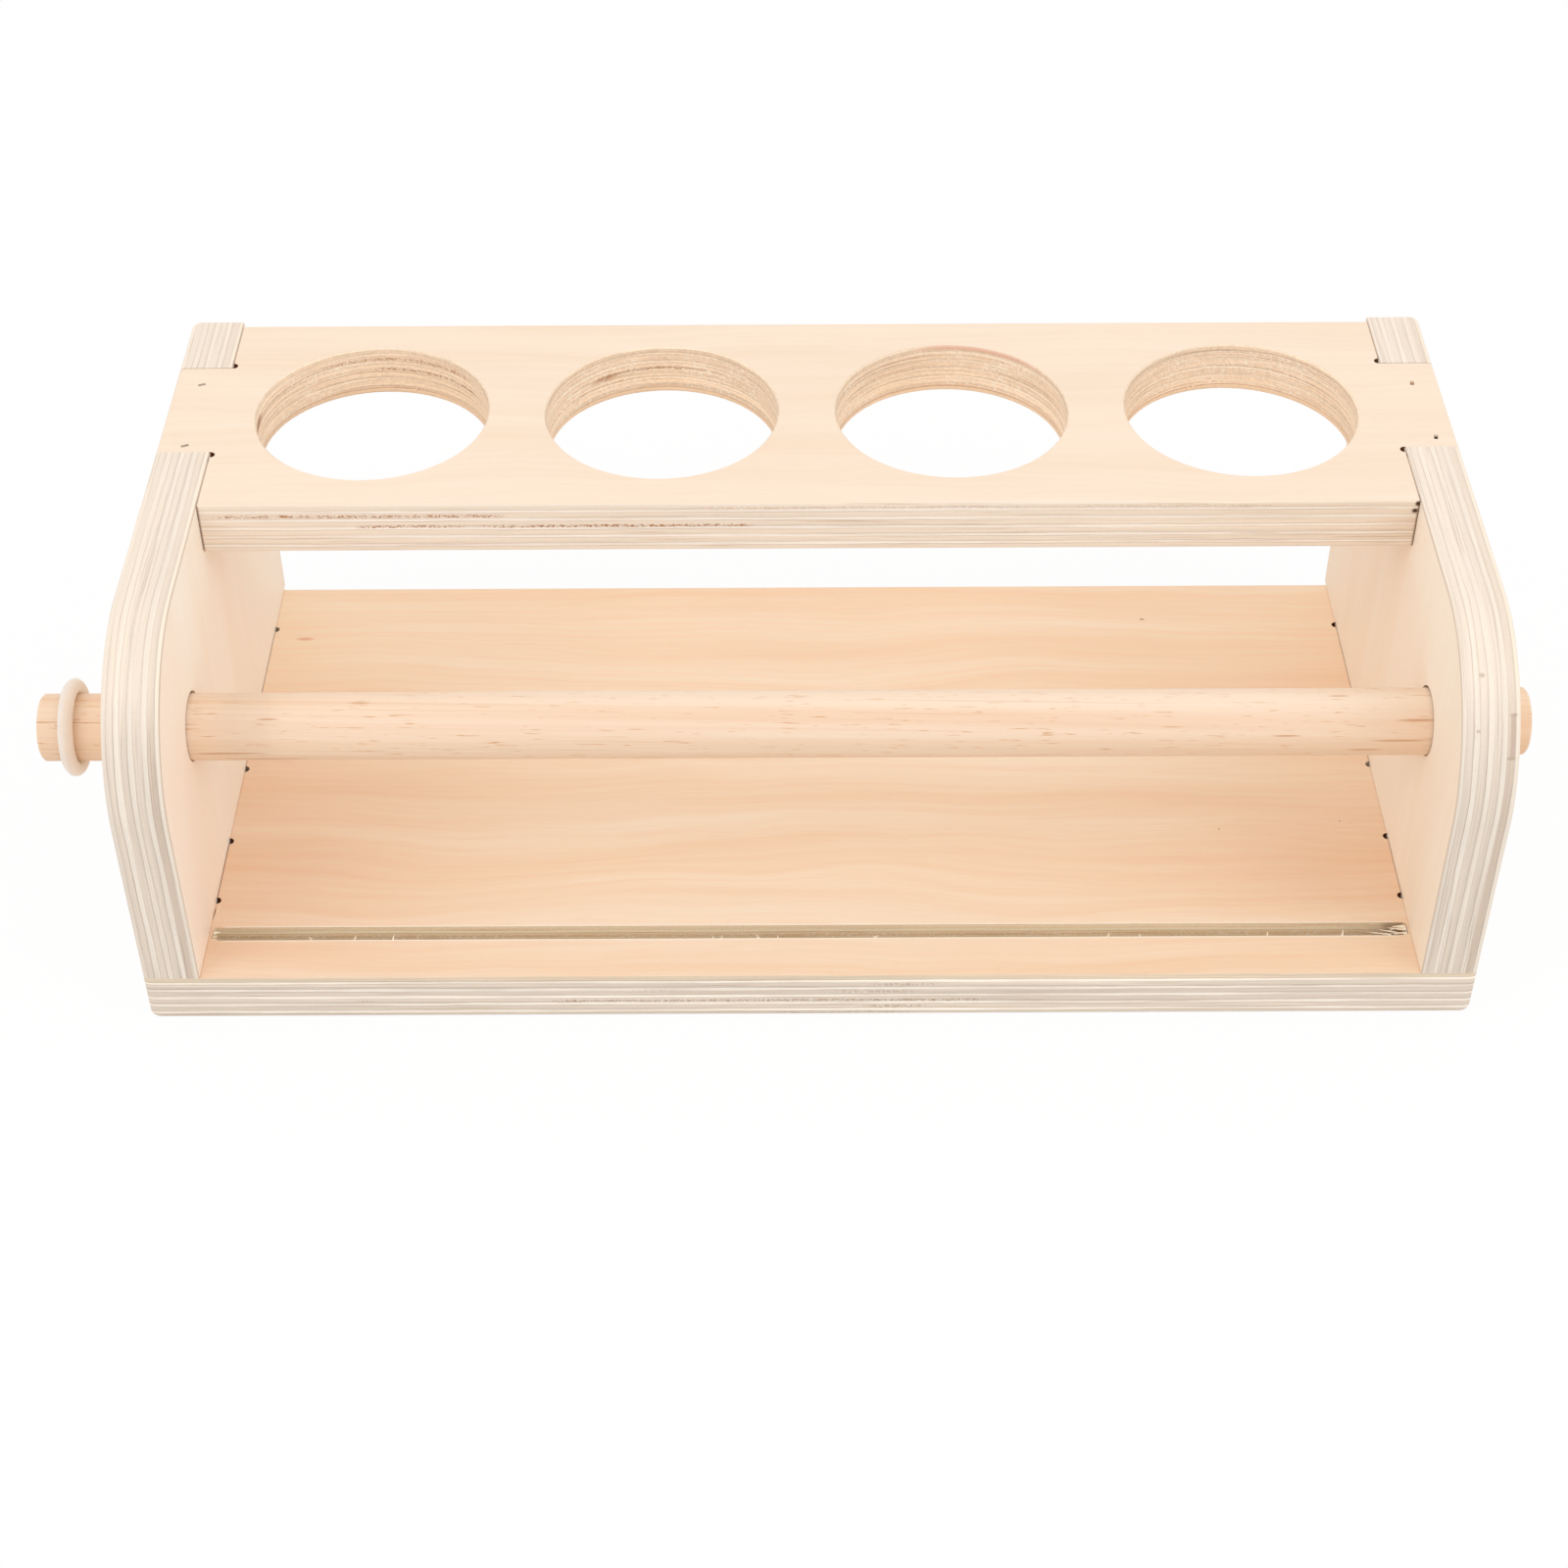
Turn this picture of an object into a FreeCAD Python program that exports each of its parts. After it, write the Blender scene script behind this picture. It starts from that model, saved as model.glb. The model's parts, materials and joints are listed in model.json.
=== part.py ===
import FreeCAD, Part
import math
import os

# Tabletop caddy of plywood: a base with a long slot, two side panels with a round front corner,
# a shelf with round cup holes, and a loose rod through both panels that carries a roll.
# Millimetres, +Z up, -Y is the front and X runs along the rod.
# The origin is the middle of the base's underside.

# Overall sizes
caddy_length = 358.0
base_depth = 172.0
caddy_height = 111.0
board_thickness = 15.0

# Side panel
panel_behind_base = 2.1
front_corner_radius = 43.0
rod_behind_front = 40.0
rod_below_top = 41.0

# Fingers of the base between the tenons of a panel, counted from the front
front_finger = 29.0
front_tenon = 26.5
middle_finger = 28.7
rear_finger = 20.0

# Shelf and its end tabs; the shelf ends flush with the back of the base
shelf_depth = 89.6
tab_behind_shelf_front = 25.5
tab_ahead_of_shelf_back = 22.4

# Cup holes, as many as fit along the shelf
cup_hole_diameter = 65.0
cup_hole_web = 16.0
cup_hole_least_margin = 5.0

# Slot in the base
slot_width = 5.0
slot_behind_front = 17.0
slot_end_margin = 0.8

# Rod and its stop ring
rod_diameter = 18.0
rod_left_overhang = 24.5
rod_right_overhang = 11.1
rod_end_chamfer = 0.6
ring_section = 4.0
ring_section_sides = 16
ring_from_rod_end = 8.25

# Brads, each set by hand in its own place
brad_length = 30.0
brad_head_width = 2.0
brad_head_height = 0.9
brad_width = 1.2
brad_thickness = 1.0
brad_point = 2.4
brad_set_depth = 0.8
left_brad_from_tab_front = 3.2
left_brad_from_tab_back = 8.2
right_brad_from_tab_front = 4.7
right_brad_from_tab_back = 10.2
right_front_brad_outset = 2.0
left_brad_turn = 23.0
right_brad_turn = 80.0

# Edges, and the radius of the bit that cut the corner reliefs and the slot
sanded_radius = 2.6
base_back_radius = 1.5
shelf_edge_radius = 0.5
arris_chamfer = 0.4
relief_radius = 1.25

# Clearances
mortise_gap = 0.12
tenon_clearance = 0.1
shelf_end_gap = 0.2
notch_play = 0.3
rod_bore_clearance = 0.5
rod_drop = 0.25
ring_clearance = 0.08
brad_clearance = 0.05

# Places worked out from the sizes above
half_length = caddy_length / 2
inner_face = half_length - board_thickness
front = -base_depth / 2
back = base_depth / 2
panel_back = back + panel_behind_base
shelf_underside = caddy_height - board_thickness
shelf_front = back - shelf_depth
tab_front = shelf_front + tab_behind_shelf_front
tab_back = back - tab_ahead_of_shelf_back
rod_y = front + rod_behind_front
bore_z = caddy_height - rod_below_top
rod_z = bore_z - rod_drop
rod_radius = rod_diameter / 2
bore_radius = rod_radius + rod_bore_clearance
front_tenon_start = front + front_finger
front_tenon_end = front_tenon_start + front_tenon
rear_tenon_start = front_tenon_end + middle_finger
rear_tenon_end = back - rear_finger
tenons = [(front_tenon_start, front_tenon_end), (rear_tenon_start, rear_tenon_end)]
fingers = [(front, front_tenon_start), (front_tenon_end, rear_tenon_start), (rear_tenon_end, back)]
brad_x = half_length - board_thickness / 2
shelf_brad_places = {
    -1: [(brad_x, tab_front + left_brad_from_tab_front), (brad_x, tab_back - left_brad_from_tab_back)],
    1: [
        (brad_x + right_front_brad_outset, tab_front + right_brad_from_tab_front),
        (brad_x, tab_back - right_brad_from_tab_back),
    ],
}
base_brad_places = [(low + high) / 2 for low, high in fingers]
brad_turn = {-1: left_brad_turn, 1: right_brad_turn}
overrun = 1.0


def block(x_span, y_span, z_span):
    corner = FreeCAD.Vector(min(x_span), min(y_span), min(z_span))
    sizes = [abs(span[1] - span[0]) for span in (x_span, y_span, z_span)]
    return Part.makeBox(*sizes, corner)


def upright_cylinder(radius, x, y, z_low, z_high):
    return Part.makeCylinder(radius, z_high - z_low, FreeCAD.Vector(x, y, z_low))


def cross_cylinder(radius, x_span, y, z):
    return Part.makeCylinder(
        radius, abs(x_span[1] - x_span[0]), FreeCAD.Vector(min(x_span), y, z), FreeCAD.Vector(1, 0, 0)
    )


def near(value, target):
    return abs(value - target) < 1e-4


# Side view of the caddy at one x: upright front, round corner, level top and upright back at rear
def side_outline(x, rear):
    radius = front_corner_radius
    centre_y = front + radius
    centre_z = caddy_height - radius
    diagonal = radius * math.sqrt(0.5)
    low_front = FreeCAD.Vector(x, front, 0)
    arc_start = FreeCAD.Vector(x, front, centre_z)
    arc_middle = FreeCAD.Vector(x, centre_y - diagonal, centre_z + diagonal)
    arc_end = FreeCAD.Vector(x, centre_y, caddy_height)
    top_back = FreeCAD.Vector(x, rear, caddy_height)
    low_back = FreeCAD.Vector(x, rear, 0)
    edges = [
        Part.LineSegment(low_front, arc_start).toShape(),
        Part.Arc(arc_start, arc_middle, arc_end).toShape(),
        Part.LineSegment(arc_end, top_back).toShape(),
        Part.LineSegment(top_back, low_back).toShape(),
        Part.LineSegment(low_back, low_front).toShape(),
    ]
    return Part.Face(Part.Wire(edges))


# The outside of the glued-up caddy with its sanded edges, ending at rear; every board is trimmed to it
def sanded_outside(rear):
    whole = side_outline(-half_length, rear).extrude(FreeCAD.Vector(caddy_length, 0, 0))
    sharp = []
    for edge in whole.Edges:
        at_end = near(abs(edge.CenterOfMass.x), half_length)
        at_bottom = near(edge.CenterOfMass.z, 0)
        if at_end or at_bottom:
            sharp.append(edge)
    return whole.makeFillet(sanded_radius, sharp)


# Flat brad seen from its wide side, with its head at z = 0; a hole for it is wider and opens upwards
def brad_solid(grow, rise):
    head = brad_head_width / 2 + grow
    shank = brad_width / 2 + grow
    neck = -brad_head_height - grow
    shoulder = brad_point - brad_length - grow
    tip = -brad_length - grow
    thickness = brad_thickness + 2 * grow
    half_outline = [(head, rise), (head, neck), (shank, neck), (shank, shoulder)]
    mirrored = [(-x, z) for x, z in reversed(half_outline)]
    points = [FreeCAD.Vector(x, -thickness / 2, z) for x, z in half_outline + [(0, tip)] + mirrored]
    face = Part.Face(Part.makePolygon(points + points[:1]))
    return face.extrude(FreeCAD.Vector(0, thickness, 0))


# One brad, or its hole, driven down from the shelf's top
def shelf_brad(side, x, y, grow=0.0, rise=0.0):
    brad = brad_solid(grow, rise)
    brad.rotate(FreeCAD.Vector(), FreeCAD.Vector(0, 0, 1), brad_turn[side])
    brad.translate(FreeCAD.Vector(side * x, y, caddy_height - brad_set_depth))
    return brad


# One brad, or its hole, driven up from the base's underside
def base_brad(side, y, grow=0.0, rise=0.0):
    brad = brad_solid(grow, rise)
    brad.rotate(FreeCAD.Vector(), FreeCAD.Vector(0, 0, 1), brad_turn[side])
    brad.rotate(FreeCAD.Vector(), FreeCAD.Vector(1, 0, 0), 180)
    brad.translate(FreeCAD.Vector(side * brad_x, y, brad_set_depth))
    return brad


def brad_holes(sides):
    rise = brad_set_depth + overrun
    holes = []
    for side in sides:
        holes += [shelf_brad(side, x, y, brad_clearance, rise) for x, y in shelf_brad_places[side]]
        holes += [base_brad(side, y, brad_clearance, rise) for y in base_brad_places]
    return holes


# The edge along the top of the base at one y
def long_top_edge(board, y):
    return [
        edge for edge in board.Edges
        if near(edge.CenterOfMass.y, y) and near(edge.CenterOfMass.z, board_thickness)
    ]


# Long slot with the corner radius of the bit that cut it
def slot_solid(through):
    end_x = inner_face - slot_end_margin
    slot_y = front + slot_behind_front
    half_width = slot_width / 2
    slot = block((-end_x, end_x), (slot_y - half_width, slot_y + half_width), through)
    corners = [
        edge for edge in slot.Edges
        if near(abs(edge.CenterOfMass.x), end_x) and not near(edge.CenterOfMass.y, slot_y)
    ]
    return slot.makeFillet(relief_radius, corners)


def base_board():
    board = block((-half_length, half_length), (front, back), (0, board_thickness))
    board = board.makeFillet(base_back_radius, long_top_edge(board, back))
    board = board.makeChamfer(arris_chamfer, long_top_edge(board, front))
    board = board.common(sanded_outside(back))
    through = (-overrun, board_thickness + overrun)
    cuts = []
    for side in (-1, 1):
        wall = side * (inner_face - mortise_gap)
        for start, end in tenons:
            low = start - tenon_clearance
            high = end + tenon_clearance
            cuts.append(block((wall, side * (half_length + overrun)), (low, high), through))
            for y in (low + relief_radius, high - relief_radius):
                cuts.append(upright_cylinder(relief_radius, wall, y, *through))
    return board.cut(cuts + [slot_solid(through)] + brad_holes((-1, 1)))


def side_panel(outside, side):
    inner_x = side * inner_face
    blank = side_outline(inner_x, panel_back).extrude(FreeCAD.Vector(side * board_thickness, 0, 0))
    blank = blank.common(outside)
    inner_rim = [
        edge for edge in blank.Edges
        if near(edge.CenterOfMass.x, inner_x) and edge.CenterOfMass.z > board_thickness
    ]
    panel = blank.makeChamfer(arris_chamfer, inner_rim)
    across = (inner_x - side * overrun, side * (half_length + overrun))
    finger_cuts = fingers[:-1] + [(rear_tenon_end, panel_back)]
    cuts = [block(across, span, (-overrun, board_thickness)) for span in finger_cuts]
    cuts.append(block(across, (tab_front, tab_back + notch_play), (shelf_underside, caddy_height + overrun)))
    for y in (tab_front + relief_radius, tab_back + notch_play - relief_radius):
        cuts.append(cross_cylinder(relief_radius, across, y, shelf_underside))
    cuts.append(cross_cylinder(bore_radius, across, rod_y, bore_z))
    return panel.cut(cuts + brad_holes((side,)))


def cup_hole_centres():
    pitch = cup_hole_diameter + cup_hole_web
    room = 2 * inner_face - 2 * cup_hole_least_margin
    count = int((room + cup_hole_web) / pitch)
    return [(index - (count - 1) / 2) * pitch for index in range(count)]


def cup_shelf(outside):
    end_x = inner_face - shelf_end_gap
    z_span = (shelf_underside, caddy_height)
    middle_board = block((-end_x, end_x), (shelf_front, back), z_span)
    tabs = block((-half_length, half_length), (tab_front, tab_back), z_span)
    shelf = middle_board.fuse(tabs).removeSplitter().common(outside)
    centre_y = (shelf_front + back) / 2
    through = (shelf_underside - overrun, caddy_height + overrun)
    holes = [upright_cylinder(cup_hole_diameter / 2, x, centre_y, *through) for x in cup_hole_centres()]
    shelf = shelf.cut(holes)
    long_edges = [
        edge for edge in shelf.Edges
        if near(edge.CenterOfMass.x, 0)
        and (near(edge.CenterOfMass.y, shelf_front) or near(edge.CenterOfMass.y, back))
    ]
    shelf = shelf.makeFillet(shelf_edge_radius, long_edges)
    rims = [
        edge for edge in shelf.Edges
        if isinstance(edge.Curve, Part.Circle) and near(edge.Curve.Radius, cup_hole_diameter / 2)
    ]
    shelf = shelf.makeChamfer(arris_chamfer, rims)
    reliefs = []
    for side in (-1, 1):
        for y in (tab_front - relief_radius, tab_back + relief_radius):
            reliefs.append(upright_cylinder(relief_radius, side * end_x, y, *through))
    return shelf.cut(reliefs + brad_holes((-1, 1)))


def roll_dowel():
    x_span = (-half_length - rod_left_overhang, half_length + rod_right_overhang)
    rod = cross_cylinder(rod_radius, x_span, rod_y, rod_z)
    ends = [
        edge for edge in rod.Edges
        if near(edge.CenterOfMass.x, x_span[0]) or near(edge.CenterOfMass.x, x_span[1])
    ]
    return rod.makeChamfer(rod_end_chamfer, ends)


# Round ring turned from a many-sided section, which keeps its mesh light
def stop_ring():
    centre_x = -half_length - rod_left_overhang + ring_from_rod_end
    section_radius = ring_section / 2
    section_z = rod_z + rod_radius + ring_clearance + section_radius
    points = []
    for index in range(ring_section_sides):
        turn = 2 * math.pi * index / ring_section_sides
        across = section_radius * math.cos(turn)
        outward = section_radius * math.sin(turn)
        points.append(FreeCAD.Vector(centre_x + across, rod_y, section_z + outward))
    section = Part.Face(Part.makePolygon(points + points[:1]))
    return section.revolve(FreeCAD.Vector(centre_x, rod_y, rod_z), FreeCAD.Vector(1, 0, 0), 360)


outside = sanded_outside(panel_back)
nodes = {
    "base_board": base_board(),
    "left_side_panel": side_panel(outside, -1),
    "right_side_panel": side_panel(outside, 1),
    "cup_shelf": cup_shelf(outside),
    "roll_dowel": roll_dowel(),
    "stop_ring": stop_ring(),
    "left_shelf_brads": Part.makeCompound([shelf_brad(-1, x, y) for x, y in shelf_brad_places[-1]]),
    "right_shelf_brads": Part.makeCompound([shelf_brad(1, x, y) for x, y in shelf_brad_places[1]]),
    "left_base_brads": Part.makeCompound([base_brad(-1, y) for y in base_brad_places]),
    "right_base_brads": Part.makeCompound([base_brad(1, y) for y in base_brad_places]),
}

os.makedirs("parts", exist_ok=True)
for name, shape in nodes.items():
    shape.exportStep("parts/" + name + ".step")
    print(name, "solids", len(shape.Solids), "volume", round(shape.Volume, 1), "valid", shape.isValid())
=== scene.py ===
import json
import math
import random
import types
import bmesh
import bpy
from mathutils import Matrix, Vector


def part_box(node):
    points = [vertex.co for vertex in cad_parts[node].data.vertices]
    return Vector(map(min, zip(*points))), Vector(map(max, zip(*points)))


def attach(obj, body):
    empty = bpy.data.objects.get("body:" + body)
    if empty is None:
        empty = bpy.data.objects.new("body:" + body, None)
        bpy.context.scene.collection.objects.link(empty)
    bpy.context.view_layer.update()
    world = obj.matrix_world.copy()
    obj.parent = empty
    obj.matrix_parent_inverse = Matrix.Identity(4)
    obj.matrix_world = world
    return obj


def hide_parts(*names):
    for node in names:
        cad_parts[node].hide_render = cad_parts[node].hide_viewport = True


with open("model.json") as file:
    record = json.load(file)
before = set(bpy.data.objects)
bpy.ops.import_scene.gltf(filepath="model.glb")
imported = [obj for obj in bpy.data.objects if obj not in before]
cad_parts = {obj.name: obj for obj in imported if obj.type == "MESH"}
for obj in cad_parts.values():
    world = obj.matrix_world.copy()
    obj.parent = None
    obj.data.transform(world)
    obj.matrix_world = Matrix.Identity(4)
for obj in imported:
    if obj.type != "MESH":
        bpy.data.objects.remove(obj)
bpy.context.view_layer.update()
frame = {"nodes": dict(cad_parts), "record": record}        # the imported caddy, in metres, origin under the middle of the base
print("frame loaded:", len(frame["nodes"]), "nodes")

nodes = frame["nodes"]
mm = 0.001
cupHoles = [mount for mount in frame["record"]["mounts"] if mount["kind"] == "bore"]
cupRadius = cupHoles[0]["dims"]["r_mm"]
openings = {opening["name"]: opening["box_m"] for opening in frame["record"]["physics"]["openings"]}
slotLow, slotHigh = openings["paper_slot"]
slotFront, slotBack = slotLow[1] / mm, slotHigh[1] / mm
slotEnd = slotHigh[0] / mm
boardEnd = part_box("base_board")[1].x


# colours are written as they look on screen, 0 to 255
def paint(red, green, blue):
    def toLinear(value):
        share = value / 255
        return share / 12.92 if share <= 0.04045 else ((share + 0.055) / 1.055) ** 2.4
    return (toLinear(red), toLinear(green), toLinear(blue), 1.0)


# the helpers below add to the node tree that is being built
building = types.SimpleNamespace(tree=None)


def startTree(owner):
    owner.use_nodes = True
    building.tree = owner.node_tree
    building.tree.nodes.clear()


def link(source, target):
    building.tree.links.new(source, target)


def addNode(kind, inputs=None, **options):
    made = building.tree.nodes.new("ShaderNode" + kind)
    for name, value in options.items():
        setattr(made, name, value)
    for key, value in (inputs or {}).items():
        if isinstance(value, bpy.types.NodeSocket):
            link(value, made.inputs[key])
        else:
            made.inputs[key].default_value = value
    return made


def placeGroup(group, inputs):
    return addNode("Group", inputs, node_tree=group).outputs


def calc(operation, first, second=0.0, third=0.0):
    return addNode("Math", {0: first, 1: second, 2: third}, operation=operation).outputs[0]


def times(*shares):
    product = shares[0]
    for share in shares[1:]:
        product = calc("MULTIPLY", product, share)
    return product


def opposite(share):
    return calc("SUBTRACT", 1.0, share)


def clamped(value):
    return addNode("Clamp", {0: value}).outputs[0]


# 0 below low, 1 above high, smooth between
def ramp(value, low, high):
    return addNode("MapRange", {0: value, 1: low, 2: high}, interpolation_type="SMOOTHSTEP").outputs[0]


# 1 below low, 0 above high, smooth between
def below(value, low, high):
    return opposite(ramp(value, low, high))


# straight line from one value at low to another at high
def between(value, low, high, first, last):
    return addNode("MapRange", {0: value, 1: low, 2: high, 3: first, 4: last}).outputs[0]


# 1 inside the span, 0 outside, with soft ends
def within(value, low, high, soft):
    return calc("SUBTRACT", ramp(value, low, low + soft), ramp(value, high - soft, high))


def nearTo(value, middle, half, soft):
    distance = calc("ABSOLUTE", calc("SUBTRACT", value, middle))
    return below(distance, half, half + soft)


def mixNumber(share, first, second):
    return addNode("Mix", {0: share, 2: first, 3: second}).outputs[0]


def mixColour(share, first, second, way="MIX"):
    return addNode("Mix", {0: share, 6: first, 7: second}, data_type="RGBA", blend_type=way).outputs[2]


# colour with another over it, or times a tint, as far as the shares multiply to
def marked(colour, other, *shares):
    return mixColour(times(*shares), colour, other)


def tinted(colour, tint, *shares):
    return mixColour(times(*shares), colour, tint, "MULTIPLY")


# colour or place times a number
def scaled(vector, factor):
    return addNode("VectorMath", {0: vector, 3: factor}, operation="SCALE").outputs[0]


def separate(vector):
    return addNode("SeparateXYZ", {0: vector}).outputs


def combine(first, second, third=0.0):
    return addNode("CombineXYZ", {0: first, 1: second, 2: third}).outputs[0]


def lengthOf(vector):
    return addNode("VectorMath", {0: vector}, operation="LENGTH").outputs["Value"]


# noise in a space stretched by so many cycles for each millimetre
def streaks(place, cycles, detail=2.0, roughness=0.5):
    stretched = addNode("VectorMath", {0: place, 1: cycles}, operation="MULTIPLY").outputs[0]
    settings = {"Vector": stretched, "Scale": 1.0, "Detail": detail, "Roughness": roughness}
    return addNode("TexNoise", settings).outputs[0]


# adds noise around its middle: value + amount * (noise - 0.5)
def sway(value, noise, amount):
    return calc("MULTIPLY_ADD", calc("SUBTRACT", noise, 0.5), amount, value)


def swayBy(value, place, amount, *noise):
    return sway(value, streaks(place, *noise), amount)


# patches where the noise is high
def patchy(place, edge, *noise):
    return ramp(streaks(place, *noise), *edge)


# soft oval spot: middle and half sizes in two directions
def spotAt(first, second, middleFirst, middleSecond, halfFirst, halfSecond):
    over = calc("DIVIDE", calc("SUBTRACT", first, middleFirst), halfFirst)
    beside = calc("DIVIDE", calc("SUBTRACT", second, middleSecond), halfSecond)
    fullAt, goneAt = 0.4, 1.3
    return below(lengthOf(combine(over, beside)), fullAt, goneAt)


def newGroup(name, inputs, outputs):
    group = bpy.data.node_groups.new(name, "ShaderNodeTree")
    for label, kind in inputs.items():
        group.interface.new_socket(label, in_out="INPUT", socket_type="NodeSocket" + kind)
    for label, kind in outputs.items():
        group.interface.new_socket(label, in_out="OUTPUT", socket_type="NodeSocket" + kind)
    building.tree = group
    start = group.nodes.new("NodeGroupInput")
    end = group.nodes.new("NodeGroupOutput")
    return group, start.outputs, end.inputs


# in the settings a noise is its cycles for each millimetre, its detail and its roughness
# an amount before them is for swayBy, and a pair before them is an edge for patchy

# figure of a peeled face veneer, in millimetres along the grain, across it and down
veneerSetup = {
    "wander": (24.0, (0.008, 0.02, 0.02)), "warmth": 0.4, "bands": (1.9, (0.003, 0.05, 0.02)),
    "lines": (1.0, (0.010, 0.45, 0.1), 3.0, 0.6), "fibres": (0.07, 3.2, 0.5), "fibreShare": 0.55,
    "pores": ((0.66, 0.76), (0.22, 2.4, 0.5), 1.0), "poreShare": 0.25, "poreDepth": -0.8,
}


def buildVeneerFigure():
    setup = veneerSetup
    inputs = {"Place": "Vector", "Light": "Color", "Warm": "Color"}
    group, source, sink = newGroup("veneerFigure", inputs, {"Color": "Color", "Height": "Float"})
    place = source["Place"]
    along, across, down = separate(place)
    bent = combine(along, swayBy(across, place, *setup["wander"]), down)
    fibres = streaks(place, setup["fibres"])
    pores = patchy(place, *setup["pores"])
    warmth = swayBy(setup["warmth"], bent, *setup["bands"])
    warmth = swayBy(warmth, bent, *setup["lines"])
    warmth = sway(warmth, fibres, setup["fibreShare"])
    warmth = calc("MULTIPLY_ADD", pores, setup["poreShare"], warmth)
    link(mixColour(clamped(warmth), source["Light"], source["Warm"]), sink["Color"])
    link(calc("MULTIPLY_ADD", pores, setup["poreDepth"], fibres), sink["Height"])
    return group


# cut edge of the plywood: thin pale plies between wider beige ones, with fine lines along them
plyNumbers = ("Pitch", "PaleAt", "PaleHalf", "Contrast", "Grain")
plyColours = ("Pale", "Beige", "Glue")
plySetup = {
    "bend": (0.7, (0.015, 0.015, 0.2)), "ripple": (0.35, (0.11, 0.11, 0.6)), "layerStep": 7.7,
    "worn": (0.22, (0.035, 0.035, 1.0), 3.0, 0.65), "paleEdge": (-0.05, 0.05),
    "faded": ((0.34, 0.58), (0.018, 0.018, 1.0)), "fadedShare": 0.5, "tone": (0.30, (0.004, 0.004, 1.0)),
    "lines": ((0.009, 0.009, 1.9), 3.0, 0.65), "lineShare": 0.42,
    "fine": ((0.05, 0.05, 5.5), 2.0, 0.6), "fineShare": 0.30, "ends": ((0.9, 0.9, 1.3), 3.0, 0.75),
    "under": (-0.24, 0.02, 0.12), "underShare": -0.08,      # darker just above the next pale ply
    "patch": ((0.36, 0.56), (0.012, 0.012, 0.4)), "glueLine": (0.02, 0.0, 0.05), "glueShare": 0.65,
    "threads": ((0.60, 0.68), (0.02, 0.02, 2.2), 2.0, 0.6), "threadShare": 0.45,
    "paleHeight": 0.5, "fineHeight": 0.6,
}


def buildPlyEdge():
    setup = plySetup
    numbers = {name: "Float" for name in plyNumbers}
    colours = {name: "Color" for name in plyColours}
    results = {"Color": "Color", "Height": "Float"}
    group, source, sink = newGroup("plyEdge", {"Place": "Vector", **numbers, **colours}, results)
    place = source["Place"]
    along, across, depth = separate(place)
    depth = swayBy(depth, place, *setup["bend"])
    depth = swayBy(depth, place, *setup["ripple"])
    bent = combine(along, across, depth)
    phase = calc("DIVIDE", calc("SUBTRACT", depth, source["PaleAt"]), source["Pitch"])
    offset = calc("WRAP", phase, -0.5, 0.5)      # zero in the middle of a pale ply
    number = calc("FLOOR", calc("ADD", phase, 0.5))
    layer = combine(along, across, calc("MULTIPLY", number, setup["layerStep"]))
    beyond = calc("SUBTRACT", calc("ABSOLUTE", offset), source["PaleHalf"])
    beyond = swayBy(beyond, layer, *setup["worn"])
    faded = patchy(layer, *setup["faded"])
    kept = calc("MULTIPLY_ADD", faded, setup["fadedShare"], 1.0 - setup["fadedShare"])
    pale = times(below(beyond, *setup["paleEdge"]), kept)
    lines = streaks(bent, *setup["lines"])
    fine = streaks(bent, *setup["fine"])
    ends = streaks(place, *setup["ends"])
    uneven = swayBy(0.0, layer, *setup["tone"])
    uneven = sway(uneven, lines, setup["lineShare"])
    uneven = sway(uneven, fine, setup["fineShare"])
    uneven = calc("MULTIPLY_ADD", nearTo(offset, *setup["under"]), setup["underShare"], uneven)
    shade = calc("MULTIPLY_ADD", uneven, source["Contrast"], 1.0)
    shade = sway(shade, ends, source["Grain"])
    colour = mixColour(pale, source["Beige"], source["Pale"])
    glue = times(nearTo(beyond, *setup["glueLine"]), patchy(bent, *setup["patch"]), setup["glueShare"])
    threads = times(patchy(bent, *setup["threads"]), setup["threadShare"])
    colour = marked(colour, source["Glue"], calc("MAXIMUM", glue, threads))
    link(scaled(colour, shade), sink["Color"])
    height = calc("MULTIPLY_ADD", pale, setup["paleHeight"], lines)
    height = calc("MULTIPLY_ADD", ends, source["Grain"], height)
    link(calc("MULTIPLY_ADD", fine, setup["fineHeight"], height), sink["Height"])
    return group


# a row of torn brown flecks and pale fibres in one ply, between two places along the edge
tornSetup = {
    "drift": (0.6, (0.03, 0.03, 0.0), 1.0), "rowEdge": (0.25, 0.62), "paleEdge": (0.4, 1.0), "fade": 5.0,
    "cells": ((0.47, 0.57), (1.3, 1.3, 1.7), 3.0, 0.75), "cellShare": 0.86,
    "patches": ((0.22, 0.44), (0.05, 0.05, 0.1)), "dots": ((0.57, 0.65), (1.7, 1.7, 2.3), 2.0, 0.7),
}


def buildTornRow():
    setup = tornSetup
    inputs = {"Place": "Vector", "Depth": "Float", "From": "Float", "To": "Float"}
    group, source, sink = newGroup("tornRow", inputs, {"Brown": "Float", "Pale": "Float"})
    place = source["Place"]
    spot = separate(place)
    level = swayBy(source["Depth"], place, *setup["drift"])
    distance = calc("ABSOLUTE", calc("SUBTRACT", spot["Z"], level))
    begun = ramp(calc("SUBTRACT", spot["X"], source["From"]), 0.0, setup["fade"])
    ended = ramp(calc("SUBTRACT", source["To"], spot["X"]), 0.0, setup["fade"])
    row = times(begun, ended, patchy(place, *setup["patches"]))
    cells = patchy(place, *setup["cells"])
    flecks = calc("MULTIPLY_ADD", cells, setup["cellShare"], 1.0 - setup["cellShare"])
    link(times(below(distance, *setup["rowEdge"]), flecks, row), sink["Brown"])
    dots = patchy(place, *setup["dots"])
    link(times(below(distance, *setup["paleEdge"]), dots, row), sink["Pale"])
    return group


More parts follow.
